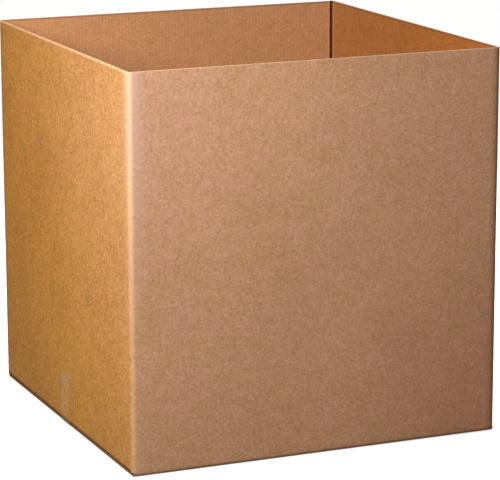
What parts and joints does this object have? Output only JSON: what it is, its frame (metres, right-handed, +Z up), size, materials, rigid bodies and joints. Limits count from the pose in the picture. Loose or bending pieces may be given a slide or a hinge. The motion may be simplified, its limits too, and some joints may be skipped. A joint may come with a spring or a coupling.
{
  "type": "open-topped cardboard box",
  "caption": "Open-topped corrugated cube box folded from one double wall blank, with a glued side joint and taped bottom flaps, for packing bulky goods.",
  "frame": {"origin": "on the floor, below the middle of the inside, on the tape's lower face", "axes": "X runs along the front wall to the right, Y from the front wall to the back wall, Z up"},
  "size_m": [0.7764, 0.783, 0.7762],
  "materials": {
    "kraft_board": "matte",
    "clear_tape": "gloss"
  },
  "bodies": {
    "root": {"box_blank": "kraft_board", "bottom_tape": "clear_tape"}
  },
  "joints": []
}
